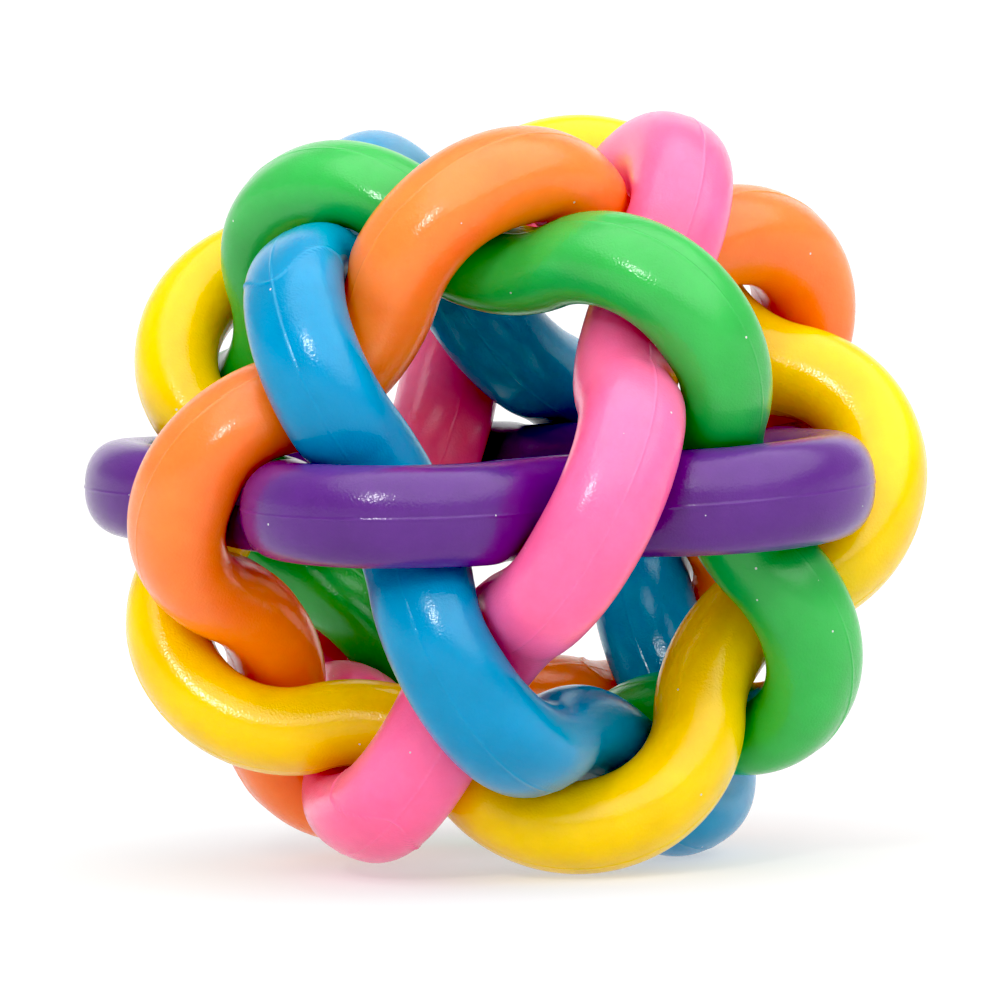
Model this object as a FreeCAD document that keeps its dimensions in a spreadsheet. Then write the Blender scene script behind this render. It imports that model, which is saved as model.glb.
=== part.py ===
import FreeCAD, Part
import Sketcher
import math
import os

# A woven ball of six equal closed rings. Every ring lies in one plane through the
# centre of the ball and is a wave of five lobes: its five crests pass over neighbouring
# rings and its five troughs pass under them, so any two rings are linked like a chain.
# The six ring axes are the six five-fold axes of an icosahedron. Between the strands
# the ball has twelve pentagonal openings and twenty tiny triangular ones, and it is
# empty inside.
#
# Frame: origin at the centre of the ball, +Z along the axis of the purple ring. Straight
# down the ball rests on the five crests around one pentagonal opening. -Y points at the
# crossing where a pink crest passes over the purple ring.

LOBES = 5
DRIVING_DIMENSIONS = [
    ("mean_radius", 29.3),       # centre of the ball to the middle line of the wave
    ("wave_height", 4.45),       # crests and troughs, either side of the middle line
    ("crest_bend", 10.6),        # radius of the centreline where it goes over a crest
    ("strand_thickness", 7.7),   # across the strand, towards the centre of the ball
    ("strand_width", 8.4),       # across the strand, along the ring's own axis
    ("lobes", LOBES),
]

# The centreline is made of arcs that meet tangentially. Crest arcs bend about a point
# inside the wave, trough arcs about a point outside it, half a lobe further round.
HALF_LOBE = "(180 deg / dims.lobes)"
CREST_TOP = "(dims.mean_radius + dims.wave_height)"
TROUGH_BOTTOM = "(dims.mean_radius - dims.wave_height)"
CREST_CENTRE = f"({CREST_TOP} - dims.crest_bend)"
BEND_OFFSET = f"(dims.crest_bend - {TROUGH_BOTTOM})"
TROUGH_CENTRE = (f"(({CREST_CENTRE}^2 - {BEND_OFFSET}^2)"
                 f" / (2 * {CREST_CENTRE} * cos({HALF_LOBE}) + 2 * {BEND_OFFSET}))")
CREST_HALF_SWEEP = (f"atan2({TROUGH_CENTRE} * sin({HALF_LOBE});"
                    f" {TROUGH_CENTRE} * cos({HALF_LOBE}) - {CREST_CENTRE})")
TROUGH_HALF_SWEEP = f"({CREST_HALF_SWEEP} - {HALF_LOBE})"

# Ring axes other than the purple one stand at this angle to +Z.
AXIS_TILT = math.degrees(math.acos(1 / math.sqrt(5)))

# name, azimuth of the tilted axis, azimuth of one crest, which lies on the equator
TILTED_RINGS = [
    ("ring_pink", 180, 270),
    ("ring_blue", 324, 54),
    ("ring_green", 36, 126),
    ("ring_yellow", 252, 342),
    ("ring_orange", 108, 198),
]
PURPLE_CREST_AZIMUTH = 234


def unit_vector(azimuth, tilt):
    """Direction at a tilt from +Z and an azimuth from +X, both in degrees."""
    across = math.sin(math.radians(tilt))
    return FreeCAD.Vector(across * math.cos(math.radians(azimuth)),
                          across * math.sin(math.radians(azimuth)),
                          math.cos(math.radians(tilt)))


def make_dimension_sheet(doc):
    sheet = doc.addObject("Spreadsheet::Sheet", "dims")
    for row, (alias, value) in enumerate(DRIVING_DIMENSIONS, start=1):
        sheet.set(f"A{row}", alias)
        sheet.set(f"B{row}", str(value))
        sheet.setAlias(f"B{row}", alias)
    return sheet


def origin_item(body, role):
    """Origin plane or axis of a body, by its role."""
    for item in body.Origin.OriginFeatures:
        if item.Role == role:
            return item
    raise ValueError(role)


def section_sketch(body, name, azimuth, centre_distance, bend_distance):
    """Oval strand section, standing on a half-plane at an azimuth, and its bend axis."""
    sketch = body.newObject("Sketcher::SketchObject", name)
    sketch.AttachmentSupport = [(origin_item(body, "XZ_Plane"), "")]
    sketch.MapMode = "FlatFace"
    if azimuth:
        upward = FreeCAD.Vector(0, 1, 0)
        sketch.AttachmentOffset = FreeCAD.Placement(
            FreeCAD.Vector(), FreeCAD.Rotation(upward, 180 / LOBES))
        sketch.setExpression(".AttachmentOffset.Rotation.Angle", azimuth)

    axis = sketch.addGeometry(
        Part.LineSegment(FreeCAD.Vector(20, -5, 0), FreeCAD.Vector(20, 5, 0)), True)
    oval = sketch.addGeometry(
        Part.Ellipse(FreeCAD.Vector(30, 4.5, 0), FreeCAD.Vector(33, 0, 0),
                     FreeCAD.Vector(30, 0, 0)), False)
    sketch.exposeInternalGeometry(oval)
    long_axis = oval + 1
    short_axis = oval + 2

    constraint = Sketcher.Constraint
    start, end, middle = 1, 2, 3
    origin_point = (-1, 1)
    horizontal_axis = -1
    sketch.addConstraint(constraint("PointOnObject", oval, middle, horizontal_axis))
    sketch.addConstraint(constraint("Vertical", long_axis))
    sketch.addConstraint(constraint("Symmetric", axis, start, axis, end, horizontal_axis))
    sizes = [
        (constraint("DistanceX", *origin_point, oval, middle, 30.0), centre_distance),
        (constraint("DistanceX", *origin_point, axis, start, 20.0), bend_distance),
        (constraint("Distance", axis, 10.0), "dims.strand_width"),
        (constraint("Distance", long_axis, 9.0), "dims.strand_width"),
        (constraint("Distance", short_axis, 6.0), "dims.strand_thickness"),
    ]
    for size, expression in sizes:
        index = sketch.addConstraint(size)
        sketch.setExpression(f"Constraints[{index}]", expression)
    return sketch


def bend(body, name, sketch, half_sweep):
    """Sweep a strand section both ways about its bend axis."""
    arc = body.newObject("PartDesign::Revolution", name)
    arc.Profile = sketch
    arc.ReferenceAxis = (sketch, ["Axis0"])
    arc.Midplane = True
    arc.setExpression("Angle", f"2 * {half_sweep}")
    sketch.Visibility = False
    return arc


def make_ring(doc, name, axis, crest):
    """One closed ring: a crest arc and a trough arc, repeated for every lobe."""
    body = doc.addObject("PartDesign::Body", name)
    body.Label = name

    crest_sketch = section_sketch(body, name + "_crest_section", None,
                                  CREST_TOP, CREST_CENTRE)
    crest_arc = bend(body, name + "_crest", crest_sketch, CREST_HALF_SWEEP)
    trough_sketch = section_sketch(body, name + "_trough_section", HALF_LOBE,
                                   TROUGH_BOTTOM, TROUGH_CENTRE)
    trough_arc = bend(body, name + "_trough", trough_sketch, TROUGH_HALF_SWEEP)

    lobes = body.newObject("PartDesign::PolarPattern", name + "_lobes")
    lobes.Originals = [crest_arc, trough_arc]
    lobes.Axis = (origin_item(body, "Z_Axis"), [""])
    lobes.Angle = 360
    lobes.setExpression("Occurrences", "dims.lobes")
    body.Tip = lobes

    across = axis.cross(crest)
    body.Placement = FreeCAD.Placement(
        FreeCAD.Matrix(crest.x, across.x, axis.x, 0,
                       crest.y, across.y, axis.y, 0,
                       crest.z, across.z, axis.z, 0,
                       0, 0, 0, 1))
    return body


def check(doc, bodies):
    for item in doc.Objects:
        if "Invalid" in item.State or "Error" in item.State:
            print(item.Name, item.State, item.getStatusString())
            raise RuntimeError(f"{item.Name} is {item.State}")
    for body in bodies:
        shape = body.Shape
        if shape.isNull() or not shape.isValid() or len(shape.Solids) != 1:
            raise RuntimeError(f"{body.Label} has no single valid solid")
        print(body.Label, "volume", round(shape.Volume, 1), "faces", len(shape.Faces))


def main():
    os.makedirs("parts", exist_ok=True)
    doc = FreeCAD.newDocument("woven_ball")
    make_dimension_sheet(doc)
    doc.recompute()

    bodies = [make_ring(doc, "ring_purple", unit_vector(0, 0),
                        unit_vector(PURPLE_CREST_AZIMUTH, 90))]
    for name, axis_azimuth, crest_azimuth in TILTED_RINGS:
        bodies.append(make_ring(doc, name, unit_vector(axis_azimuth, AXIS_TILT),
                                unit_vector(crest_azimuth, 90)))
    doc.recompute()
    check(doc, bodies)
    for body in bodies:
        body.Shape.exportStep(f"parts/{body.Label}.step")


main()
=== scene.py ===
import math

import bpy
import numpy as np
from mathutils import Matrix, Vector


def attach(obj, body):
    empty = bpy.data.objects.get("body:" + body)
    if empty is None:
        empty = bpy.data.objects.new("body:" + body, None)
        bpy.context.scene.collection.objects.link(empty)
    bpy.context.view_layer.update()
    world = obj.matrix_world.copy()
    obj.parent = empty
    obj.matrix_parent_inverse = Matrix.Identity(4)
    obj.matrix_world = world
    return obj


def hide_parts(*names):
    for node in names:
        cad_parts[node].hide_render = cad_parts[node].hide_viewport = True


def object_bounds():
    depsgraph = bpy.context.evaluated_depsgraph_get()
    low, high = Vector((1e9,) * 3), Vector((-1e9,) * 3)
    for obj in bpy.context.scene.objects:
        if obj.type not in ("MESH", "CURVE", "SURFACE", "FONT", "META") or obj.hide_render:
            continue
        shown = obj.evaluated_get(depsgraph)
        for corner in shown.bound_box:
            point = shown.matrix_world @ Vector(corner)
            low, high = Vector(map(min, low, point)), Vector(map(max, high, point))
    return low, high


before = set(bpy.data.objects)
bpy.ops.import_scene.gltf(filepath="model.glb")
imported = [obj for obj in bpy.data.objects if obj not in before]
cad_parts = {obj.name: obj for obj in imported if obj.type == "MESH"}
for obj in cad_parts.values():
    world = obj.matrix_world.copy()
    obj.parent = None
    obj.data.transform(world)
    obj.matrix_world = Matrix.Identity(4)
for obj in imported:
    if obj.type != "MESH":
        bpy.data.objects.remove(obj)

# A hollow ball woven from six closed rings of soft, glossy rubber. Each ring is a plane
# wave of five crests and five troughs, moulded flat in a two-part mould and closed by one
# butt joint. Metres, in the frame of the CAD model: centre of the ball at the origin.

MM = 0.001
CAD_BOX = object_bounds()

# ---------------------------------------------------------------- shape of a ring
LOBES = 5
HALF_LOBE = math.pi / LOBES
MEAN_RADIUS = 29.3 * MM
WAVE_HEIGHT = 4.3 * MM
CREST_BEND = 10.7 * MM
HALF_THICKNESS = 3.95 * MM     # towards the centre of the ball
HALF_WIDTH = 4.62 * MM         # along the ring's own axis
SQUARENESS = 2.3               # exponent of the section's outline, 2 is an ellipse

CREST_TOP = MEAN_RADIUS + WAVE_HEIGHT
TROUGH_BOTTOM = MEAN_RADIUS - WAVE_HEIGHT
CREST_CENTRE = CREST_TOP - CREST_BEND
BEND_OFFSET = CREST_BEND - TROUGH_BOTTOM
TROUGH_CENTRE = ((CREST_CENTRE**2 - BEND_OFFSET**2)
                 / (2 * CREST_CENTRE * math.cos(HALF_LOBE) + 2 * BEND_OFFSET))
TROUGH_BEND = TROUGH_CENTRE - TROUGH_BOTTOM
CREST_SWEEP = math.atan2(TROUGH_CENTRE * math.sin(HALF_LOBE),
                         TROUGH_CENTRE * math.cos(HALF_LOBE) - CREST_CENTRE)
TROUGH_SWEEP = CREST_SWEEP - HALF_LOBE
CREST_LENGTH = CREST_BEND * CREST_SWEEP
TROUGH_LENGTH = TROUGH_BEND * TROUGH_SWEEP
LOBE_LENGTH = 2 * (CREST_LENGTH + TROUGH_LENGTH)
RING_LENGTH = LOBES * LOBE_LENGTH

# ---------------------------------------------------------------- moulding detail
CONTACT_GAP = 0.24 * MM        # left between two rings where they press on each other
CONTACT_BLEND = 0.30 * MM      # how softly a pressed patch runs out into the round strand
PARTING_HEIGHT = 0.08 * MM
PARTING_WIDTH = 0.12 * MM
SEAM_HEIGHT = 0.12 * MM        # a thin raised lip where the two ends of the strand were joined
SEAM_WIDTH = 0.12 * MM
SEAM_BOW = 4.0 * MM            # the lip runs back from the parting lines round either side
PARTING_WANDER = 0.10 * MM     # the parting line doesn't run quite straight
SWELL_HEIGHT = 0.04 * MM       # the strand isn't quite even
PRESS_REACH = 3.0 * MM         # further away than this, rings don't press on each other
PRESS_PASSES = 4
DETAIL_FADE = 0.2 * MM         # moulding detail is gone where the strand is pressed in by more

# ---------------------------------------------------------------- fineness of the mesh
SECTIONS = 620                 # round a ring
SEAM_STEP = 0.05 * MM          # between sections at the joint
SECTION_SIDES = 72             # round the strand
PARTING_POINTS = (0.018, 0.037, 0.055, 0.075, 0.10)   # radians either side of a parting line

# ---------------------------------------------------------------- how the soft ball settles
# The real ball is soft and doesn't lie quite in its ideal shape. Shares of the ball's size,
# seen from the side the camera is on; the wedge makes it taller towards the right.
VIEW_AZIMUTH = -15.0
SQUASH = 0.012
SPREAD = 0.010
TWIST = 0.033
WEDGE = 0.046
TAPER = 0.017
SIDE_PUSH = 0.019
SIDE_LIFT = 0.028

AXIS_TILT = math.acos(1 / math.sqrt(5))


class Ring:
    """Where one ring lies, its colour, where its two ends were joined and how fat its strand is."""

    def __init__(self, name, tilt, axis_azimuth, crest_azimuth, colour, joint_at, fullness=1.0):
        self.name = name
        self.node = "ring_" + name
        self.body = name + "_body"
        self.colour = colour
        self.joint_at = joint_at * LOBE_LENGTH
        self.half_thickness = HALF_THICKNESS * fullness
        self.half_width = HALF_WIDTH * fullness
        axis = direction(axis_azimuth, tilt)
        crest = direction(crest_azimuth, math.pi / 2)
        self.rotation = np.column_stack([crest, np.cross(axis, crest), axis])


def direction(azimuth, tilt):
    """Unit vector at an azimuth in degrees from +X and a tilt in radians from +Z."""
    turn = math.radians(azimuth)
    return np.array([math.sin(tilt) * math.cos(turn), math.sin(tilt) * math.sin(turn), math.cos(tilt)])


# name, tilt and azimuth of the axis, azimuth of a crest, colour (sRGB), joint in lobes from that
# crest, and the strand's size against the usual one where it differs
RINGS = [
    Ring("purple", 0, 0, 234, (92, 44, 128), 2.35),
    Ring("pink", AXIS_TILT, 180, 270, (246, 108, 156), 4.13),
    Ring("blue", AXIS_TILT, 324, 54, (0, 138, 182), 1.97),
    Ring("green", AXIS_TILT, 36, 126, (58, 172, 80), 4.35, 0.95),
    Ring("yellow", AXIS_TILT, 252, 342, (234, 196, 0), 1.35),
    Ring("orange", AXIS_TILT, 108, 198, (252, 130, 60), 3.35, 1.05),
]


# ---------------------------------------------------------------- geometry of the strand
def rotate(points, angle):
    c, s = np.cos(angle), np.sin(angle)
    return np.stack([c * points[..., 0] - s * points[..., 1],
                     s * points[..., 0] + c * points[..., 1]], axis=-1)


def wave(along):
    """Centreline points and outward normals in the ring's plane, at lengths along it."""
    lobe = np.floor(along / LOBE_LENGTH + 0.5)
    within = along - lobe * LOBE_LENGTH                       # from the crest's middle
    past = np.abs(within) - CREST_LENGTH - TROUGH_LENGTH       # from the trough's middle
    side = np.where(within < 0, -1.0, 1.0)

    crest_angle = within / CREST_BEND
    crest_normal = np.stack([np.cos(crest_angle), np.sin(crest_angle)], axis=-1)
    crest_point = CREST_BEND * crest_normal + [CREST_CENTRE, 0]

    trough_angle = -past / TROUGH_BEND * side
    trough_normal = np.stack([np.cos(trough_angle), np.sin(trough_angle)], axis=-1)
    trough_point = -TROUGH_BEND * trough_normal + [TROUGH_CENTRE, 0]
    trough_point = rotate(trough_point, HALF_LOBE * side)
    trough_normal = rotate(trough_normal, HALF_LOBE * side)

    over = (np.abs(within) < CREST_LENGTH)[..., None]
    turn = lobe * 2 * HALF_LOBE
    return (rotate(np.where(over, crest_point, trough_point), turn),
            rotate(np.where(over, crest_normal, trough_normal), turn))


def section(ring, angle):
    """A ring's section outline and its outward normals, as (outward, sideways) pairs."""
    c, s = np.cos(angle), np.sin(angle)
    half_size = np.array([ring.half_thickness, ring.half_width])
    bearing = np.stack([c, s], axis=-1)
    reach = np.sum(np.abs(bearing / half_size)**SQUARENESS, axis=-1, keepdims=True)**(-1 / SQUARENESS)
    outline = reach * bearing
    steep = np.sign(bearing) * np.abs(outline / half_size)**(SQUARENESS - 1) / half_size
    return outline, steep / np.linalg.norm(steep, axis=-1, keepdims=True)


def distance_to_strand(ring, points):
    """Distance outside a ring's undeformed strand, and its slope, for points in the ring's frame."""
    flat = points[:, :2]
    bearing = np.arctan2(flat[:, 1], flat[:, 0])
    lobe = np.round(bearing / (2 * HALF_LOBE))
    flat = rotate(flat, -lobe * 2 * HALF_LOBE)
    side = np.where(flat[:, 1] < 0, -1.0, 1.0)
    crest_centre = np.array([CREST_CENTRE, 0.0])
    trough_centre = np.stack([np.full(len(flat), TROUGH_CENTRE * math.cos(HALF_LOBE)),
                              side * TROUGH_CENTRE * math.sin(HALF_LOBE)], axis=-1)
    chord = trough_centre - crest_centre
    from_crest = flat - crest_centre
    from_trough = flat - trough_centre
    over = side * (chord[:, 0] * from_crest[:, 1] - chord[:, 1] * from_crest[:, 0]) < 0
    crest_reach = np.linalg.norm(from_crest, axis=-1)
    trough_reach = np.linalg.norm(from_trough, axis=-1)
    outward = np.where(over, crest_reach - CREST_BEND, TROUGH_BEND - trough_reach)
    normal = np.where(over[:, None], from_crest / crest_reach[:, None], -from_trough / trough_reach[:, None])
    normal = rotate(normal, lobe * 2 * HALF_LOBE)

    thick = np.abs(outward) / ring.half_thickness
    wide = np.abs(points[:, 2]) / ring.half_width
    total = np.maximum(thick**SQUARENESS + wide**SQUARENESS, 1e-12)
    level = total**(1 / SQUARENESS)
    rate = total**(1 / SQUARENESS - 1)
    thick_rate = rate * thick**(SQUARENESS - 1) / ring.half_thickness * np.sign(outward)
    wide_rate = rate * wide**(SQUARENESS - 1) / ring.half_width * np.sign(points[:, 2])
    steepness = np.maximum(np.hypot(thick_rate, wide_rate), 1e-9)
    slope = np.column_stack([normal * (thick_rate / steepness)[:, None], wide_rate / steepness])
    return (level - 1) / steepness, slope


def press_depth(points, normals, others):
    """How far the rubber is pushed in where a ring bears on its neighbours."""
    depth = np.zeros(len(points))
    for _ in range(PRESS_PASSES):
        wanted = np.zeros(len(points))
        moved = points - normals * depth[:, None]
        for other in others:
            local = moved @ other.rotation
            near = np.abs(local[:, 2]) < other.half_width + PRESS_REACH
            gap, slope = distance_to_strand(other, local[near])
            facing = np.clip(-np.sum(slope @ other.rotation.T * normals[near], axis=1), 0, 1)
            bite = (CONTACT_GAP - gap + depth[near] * facing) / (1 + facing)
            pushed = (bite + np.sqrt(bite**2 + CONTACT_BLEND**2)) / 2
            pushed[gap > PRESS_REACH] = 0
            wanted[near] = np.maximum(wanted[near], pushed)
        depth = wanted
    return depth


def stations(joint_at):
    """Lengths along the ring at which it gets a section: close together at its joint."""
    coarse = np.arange(0, RING_LENGTH, RING_LENGTH / SECTIONS)
    fine = joint_at + np.arange(-SEAM_BOW - 3 * SEAM_WIDTH, 3 * SEAM_WIDTH, SEAM_STEP)
    from_middle = (coarse - fine.mean() + RING_LENGTH / 2) % RING_LENGTH - RING_LENGTH / 2
    clear = np.abs(from_middle) > (fine[-1] - fine[0]) / 2 + 3 * SEAM_STEP
    return np.sort(np.concatenate([coarse[clear], fine % RING_LENGTH]))


def section_angles():
    """Angles round the section: close together at the two parting lines."""
    even = np.linspace(0, 2 * math.pi, SECTION_SIDES, endpoint=False)
    even = even[np.minimum(even % math.pi, math.pi - even % math.pi) > 1.1 * PARTING_POINTS[-1]]
    close = np.concatenate([np.negative(PARTING_POINTS[::-1]), [0], PARTING_POINTS])
    return np.sort(np.concatenate([even, close % (2 * math.pi), close + math.pi]))


def settle(points):
    """Carry points of the ideal ball into the slightly squashed and twisted real one."""
    view = math.radians(VIEW_AZIMUTH)
    right = np.array([math.cos(view), math.sin(view), 0.0])
    back = np.array([-math.sin(view), math.cos(view), 0.0])
    x = points @ right / MEAN_RADIUS
    y = points @ back / MEAN_RADIUS
    z = points[:, 2] / MEAN_RADIUS
    move_x = x * (SPREAD - TAPER * z) + SIDE_PUSH * x**2 - TWIST * y * z
    move_y = TWIST * x * z
    move_z = z * (WEDGE * x - SQUASH) + SIDE_LIFT * x**2
    moved = np.outer(x + move_x, right) + np.outer(y + move_y, back)
    moved[:, 2] = z + move_z
    return moved * MEAN_RADIUS


def ring_surface(ring):
    """Points of a ring's surface, section after section, and the number of sections."""
    along = stations(ring.joint_at)
    angles = section_angles()
    centre, outward = wave(along)
    outline, slant = section(ring, angles)
    rows, columns = len(along), len(angles)

    outward3 = np.concatenate([outward, np.zeros((rows, 1))], axis=1)[:, None, :]
    centre3 = np.concatenate([centre, np.zeros((rows, 1))], axis=1)[:, None, :]
    sideways = np.array([0, 0, 1.0])
    points = centre3 + outline[None, :, :1] * outward3 + outline[None, :, 1:] * sideways
    normals = slant[None, :, :1] * outward3 + slant[None, :, 1:] * sideways
    points = points.reshape(-1, 3) @ ring.rotation.T
    normals = normals.reshape(-1, 3) @ ring.rotation.T

    depth = press_depth(points, normals, [other for other in RINGS if other is not ring])
    depth = depth.reshape(rows, columns)

    lap = 2 * math.pi * along / RING_LENGTH
    phase = len(ring.name)
    across = outline[:, 1]
    wander = PARTING_WANDER * np.sin(6 * lap + phase)[:, None]
    strength = (0.75 + 0.25 * np.sin(9 * lap + phase))[:, None]
    ridge = strength * np.exp(-((across - wander) / PARTING_WIDTH)**2)
    from_joint = (along - ring.joint_at + RING_LENGTH / 2) % RING_LENGTH - RING_LENGTH / 2
    seam = np.exp(-((from_joint[:, None] + SEAM_BOW * np.sin(angles)**2) / SEAM_WIDTH)**2)
    swell = np.sin(7 * lap[:, None] + 2 * angles + phase) * np.sin(4 * lap[:, None] - phase)
    free = np.exp(-depth / DETAIL_FADE)
    height = free * (PARTING_HEIGHT * ridge + SEAM_HEIGHT * seam + SWELL_HEIGHT * swell) - depth
    return settle(points + normals * height.reshape(-1, 1)), rows


def ring_mesh(ring, points, rows):
    columns = len(points) // rows
    index = np.arange(len(points)).reshape(rows, columns)
    next_row = np.roll(index, -1, axis=0)
    faces = np.stack([index, next_row, np.roll(next_row, -1, axis=1), np.roll(index, -1, axis=1)], axis=-1)
    mesh = bpy.data.meshes.new(ring.name + "_ring")
    mesh.from_pydata(points.tolist(), [], faces.reshape(-1, 4).tolist())
    mesh.polygons.foreach_set("use_smooth", [True] * len(mesh.polygons))
    mesh.update()
    return mesh


# ---------------------------------------------------------------- materials
# scales are repeats per metre
CLOUD_SCALE = 90.0             # patches of paler and deeper colour
CLOUD_RANGE = 0.1
DUST_SCALE = 340.0
DUST_SIZE = 0.036
DUST_SHARE = 0.5
DUST_COLOUR = (0.6, 0.6, 0.6, 1)
GRAIN_SCALE = 4500.0
GRAIN_DEPTH = 0.028 * MM
PORE_SCALE = 700.0
PORE_DEPTH = 0.03 * MM
GLOSS_ROUGHNESS = 0.18
SCATTER_DEPTH = 6 * MM


def linear(colour):
    """Linear RGBA of an sRGB colour given as 0 to 255."""
    def channel(value):
        value = value / 255
        return value / 12.92 if value <= 0.04045 else ((value + 0.055) / 1.055)**2.4
    return tuple(channel(v) for v in colour) + (1.0,)


def node(tree, kind, **settings):
    made = tree.nodes.new(kind)
    for name, value in settings.items():
        if name in made.inputs:
            made.inputs[name].default_value = value
        else:
            setattr(made, name, value)
    return made


def rubber(ring):
    """Glossy, slightly translucent moulded rubber with a fine grain and a few specks."""
    material = bpy.data.materials.new("rubber_" + ring.name)
    material.use_nodes = True
    tree = material.node_tree
    surface = tree.nodes["Principled BSDF"]
    base = linear(ring.colour)
    pale = tuple(min(1.0, v * (1 + CLOUD_RANGE)) for v in base[:3]) + (1.0,)
    deep = tuple(v * (1 - CLOUD_RANGE) for v in base[:3]) + (1.0,)

    place = node(tree, "ShaderNodeTexCoord")
    clouds = node(tree, "ShaderNodeTexNoise", Scale=CLOUD_SCALE, Detail=7.0, Roughness=0.62)
    tint = node(tree, "ShaderNodeValToRGB")
    tint.color_ramp.elements[0].position = 0.35
    tint.color_ramp.elements[0].color = deep
    tint.color_ramp.elements[1].position = 0.65
    tint.color_ramp.elements[1].color = pale
    tree.links.new(place.outputs["Object"], clouds.inputs["Vector"])
    tree.links.new(clouds.outputs["Fac"], tint.inputs["Fac"])

    dust = node(tree, "ShaderNodeTexVoronoi", Scale=DUST_SCALE)
    grains = node(tree, "ShaderNodeMath", operation="LESS_THAN")
    grains.inputs[1].default_value = DUST_SIZE
    few = node(tree, "ShaderNodeMath", operation="GREATER_THAN")
    few.inputs[1].default_value = DUST_SHARE
    speck = node(tree, "ShaderNodeMath", operation="MULTIPLY")
    paled = node(tree, "ShaderNodeMix", data_type="RGBA")
    paled.inputs["B"].default_value = DUST_COLOUR
    tree.links.new(place.outputs["Object"], dust.inputs["Vector"])
    tree.links.new(dust.outputs["Distance"], grains.inputs[0])
    tree.links.new(dust.outputs["Color"], few.inputs[0])
    tree.links.new(grains.outputs["Value"], speck.inputs[0])
    tree.links.new(few.outputs["Value"], speck.inputs[1])
    tree.links.new(speck.outputs["Value"], paled.inputs["Factor"])
    tree.links.new(tint.outputs["Color"], paled.inputs["A"])
    tree.links.new(paled.outputs["Result"], surface.inputs["Base Color"])

    grain = node(tree, "ShaderNodeTexNoise", Scale=GRAIN_SCALE, Detail=1.0)
    pores = node(tree, "ShaderNodeTexNoise", Scale=PORE_SCALE, Detail=4.0)
    fine = node(tree, "ShaderNodeBump", Strength=1.0, Distance=GRAIN_DEPTH)
    broad = node(tree, "ShaderNodeBump", Strength=0.2, Distance=PORE_DEPTH)
    tree.links.new(place.outputs["Object"], grain.inputs["Vector"])
    tree.links.new(place.outputs["Object"], pores.inputs["Vector"])
    tree.links.new(grain.outputs["Fac"], fine.inputs["Height"])
    tree.links.new(pores.outputs["Fac"], broad.inputs["Height"])
    tree.links.new(broad.outputs["Normal"], fine.inputs["Normal"])
    tree.links.new(fine.outputs["Normal"], surface.inputs["Normal"])

    surface.inputs["Roughness"].default_value = GLOSS_ROUGHNESS
    surface.inputs["IOR"].default_value = 1.5
    surface.inputs["Subsurface Weight"].default_value = 0.9
    surface.inputs["Subsurface Radius"].default_value = tuple(0.3 + 0.7 * v for v in base[:3])
    surface.inputs["Subsurface Scale"].default_value = SCATTER_DEPTH
    return material


def plain_floor():
    material = bpy.data.materials.new("pale_floor")
    material.use_nodes = True
    surface = material.node_tree.nodes["Principled BSDF"]
    surface.inputs["Base Color"].default_value = FLOOR_GREY
    surface.inputs["Roughness"].default_value = 0.9
    surface.inputs["Specular IOR Level"].default_value = 0.1
    surface.inputs["Emission Color"].default_value = (1, 1, 1, 1)
    surface.inputs["Emission Strength"].default_value = FLOOR_GLOW
    return material


# ---------------------------------------------------------------- the studio
CAMERA_AZIMUTH = -15.8
CAMERA_ELEVATION = 3.76
CAMERA_ROLL = -1.31
CAMERA_DISTANCE = 27.4 * MEAN_RADIUS
CAMERA_SHIFT = (-0.0033, -0.0047)
FIELD_RATIO = 8.914            # focal length over the width of the picture
SENSOR_WIDTH = 36.0
BLACK_LEVEL = 0.03             # clipped to black, as in the photograph's own contrast

FLOOR_HALF = 30.0
FLOOR_DROP = 0.1 * MM          # below the ball's lowest point
FLOOR_GREY = (0.4, 0.4, 0.4, 1)
FLOOR_GLOW = 0.5

DIM_STUDIO = 0.62
BACKDROP = 1.2                 # behind the ball and low down all round
SOFTBOX_LIGHT = 2.35
PATCH_EDGE = 5.0               # degrees either side of a patch's edge over which it fades


def add_object(name, data):
    made = bpy.data.objects.new(name, data)
    bpy.context.scene.collection.objects.link(made)
    return made


def add_floor():
    height = CAD_BOX[0].z - FLOOR_DROP
    corners = [(x * FLOOR_HALF, y * FLOOR_HALF, height) for x, y in ((-1, -1), (1, -1), (1, 1), (-1, 1))]
    mesh = bpy.data.meshes.new("floor")
    mesh.from_pydata(corners, [], [(0, 1, 2, 3)])
    mesh.materials.append(plain_floor())
    add_object("floor", mesh)


def aim(thing, target=Vector((0, 0, 0))):
    thing.rotation_mode = "QUATERNION"
    thing.rotation_quaternion = (target - thing.location).to_track_quat("-Z", "Y")


def towards(azimuth, elevation):
    """Unit vector from the ball at an azimuth in degrees from the -Y side and an elevation in degrees."""
    turn, rise = math.radians(azimuth), math.radians(elevation)
    return Vector((math.sin(turn) * math.cos(rise), -math.cos(turn) * math.cos(rise), math.sin(rise)))


def softbox(name, azimuth, elevation, distance, width, height, power):
    """A rectangular light aimed at the ball."""
    light = bpy.data.lights.new(name, "AREA")
    light.shape = "RECTANGLE"
    light.size = width
    light.size_y = height
    light.energy = power
    made = add_object(name, light)
    made.location = distance * towards(azimuth, elevation)
    aim(made)


def add_camera():
    data = bpy.data.cameras.new("camera")
    data.sensor_width = SENSOR_WIDTH
    data.lens = SENSOR_WIDTH * FIELD_RATIO
    data.shift_x, data.shift_y = CAMERA_SHIFT
    data.clip_start = 0.01
    data.clip_end = 100
    camera = add_object("camera", data)
    camera.location = CAMERA_DISTANCE * towards(CAMERA_AZIMUTH, CAMERA_ELEVATION)
    aim(camera)
    camera.rotation_mode = "XYZ"
    camera.rotation_euler.rotate_axis("Z", math.radians(CAMERA_ROLL))
    bpy.context.scene.camera = camera


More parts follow.
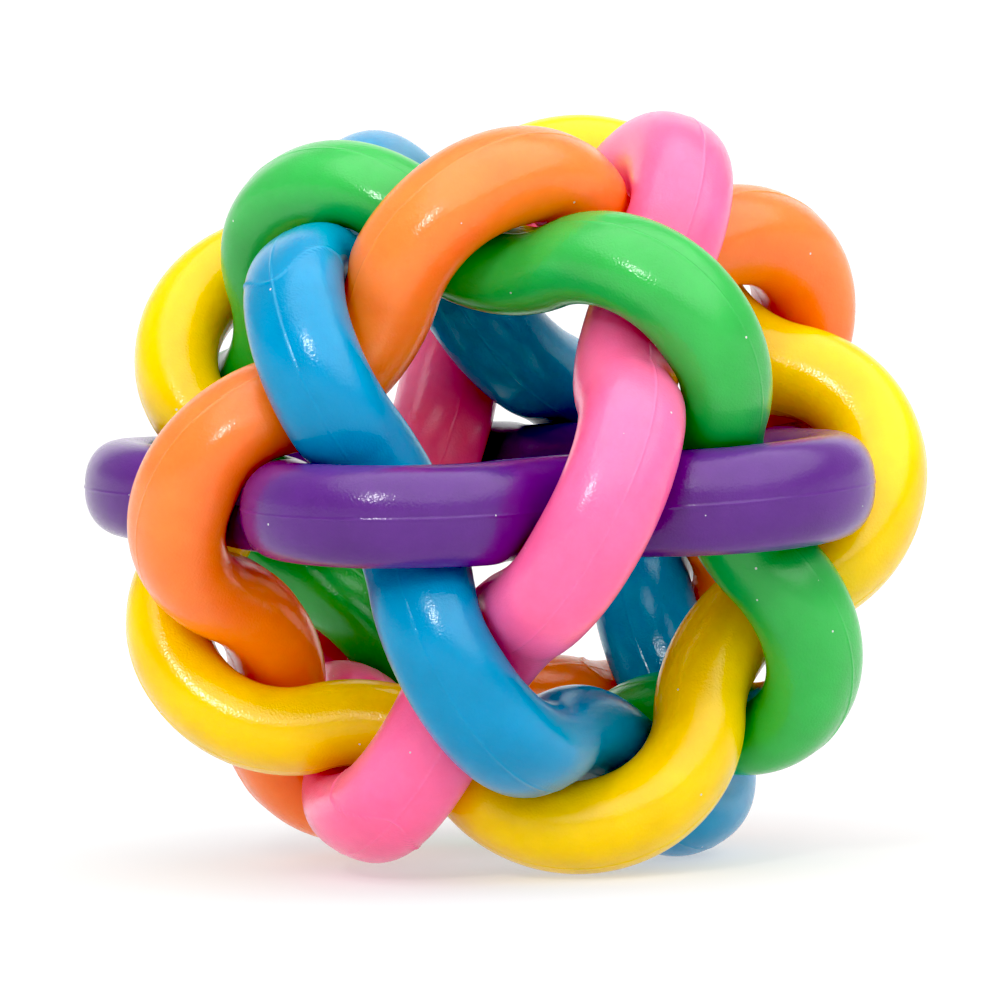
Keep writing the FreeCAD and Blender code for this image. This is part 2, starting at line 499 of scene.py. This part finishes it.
def round_light(tree, place, azimuth, elevation, reach, low, high):
    """Socket of a soft-edged round patch of light on the sky, low outside and high inside it."""
    nearness = node(tree, "ShaderNodeVectorMath", operation="DOT_PRODUCT")
    nearness.inputs[1].default_value = towards(azimuth, elevation)
    patch = node(tree, "ShaderNodeMapRange", interpolation_type="SMOOTHSTEP")
    patch.inputs["From Min"].default_value = math.cos(math.radians(reach + PATCH_EDGE))
    patch.inputs["From Max"].default_value = math.cos(math.radians(reach - PATCH_EDGE))
    patch.inputs["To Min"].default_value = low
    patch.inputs["To Max"].default_value = high
    tree.links.new(place.outputs["Generated"], nearness.inputs[0])
    tree.links.new(nearness.outputs["Value"], patch.inputs["Value"])
    return patch.outputs["Result"]


def add_world():
    """A dim studio with a huge round softbox up to the right, and white low down and behind."""
    world = bpy.data.worlds.new("studio")
    world.use_nodes = True
    tree = world.node_tree
    place = node(tree, "ShaderNodeTexCoord")
    brightest = round_light(tree, place, azimuth=CAMERA_AZIMUTH + 27, elevation=64, reach=49,
                            low=DIM_STUDIO, high=SOFTBOX_LIGHT)
    backdrop = round_light(tree, place, azimuth=CAMERA_AZIMUTH + 180, elevation=0, reach=44,
                           low=0, high=BACKDROP)
    horizon = round_light(tree, place, azimuth=0, elevation=-90, reach=99, low=0, high=BACKDROP)
    for light in (backdrop, horizon):
        brighter = node(tree, "ShaderNodeMath", operation="MAXIMUM")
        tree.links.new(brightest, brighter.inputs[0])
        tree.links.new(light, brighter.inputs[1])
        brightest = brighter.outputs["Value"]
    background = tree.nodes["Background"]
    background.inputs["Color"].default_value = (1, 1, 1, 1)
    tree.links.new(brightest, background.inputs["Strength"])
    bpy.context.scene.world = world


def set_contrast():
    display = bpy.context.scene.view_settings
    display.view_transform = "Standard"
    display.use_curve_mapping = True
    display.curve_mapping.black_level = (BLACK_LEVEL, BLACK_LEVEL, BLACK_LEVEL)
    display.curve_mapping.update()


# ---------------------------------------------------------------- making it
add_camera()
add_world()
add_floor()
softbox("key", azimuth=CAMERA_AZIMUTH - 22, elevation=30, distance=1.5, width=0.14, height=0.18, power=5.0)
set_contrast()

surfaces = [ring_surface(ring) for ring in RINGS]
lowest = np.min([points.min(axis=0) for points, rows in surfaces], axis=0)
highest = np.max([points.max(axis=0) for points, rows in surfaces], axis=0)
set_down = np.array([-(lowest[0] + highest[0]) / 2, -(lowest[1] + highest[1]) / 2, CAD_BOX[0].z - lowest[2]])

for ring, (points, rows) in zip(RINGS, surfaces):
    piece = add_object(ring.name + "_rubber_ring", ring_mesh(ring, points + set_down, rows))
    piece.data.materials.append(rubber(ring))
    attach(piece, ring.body)
    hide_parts(ring.node)
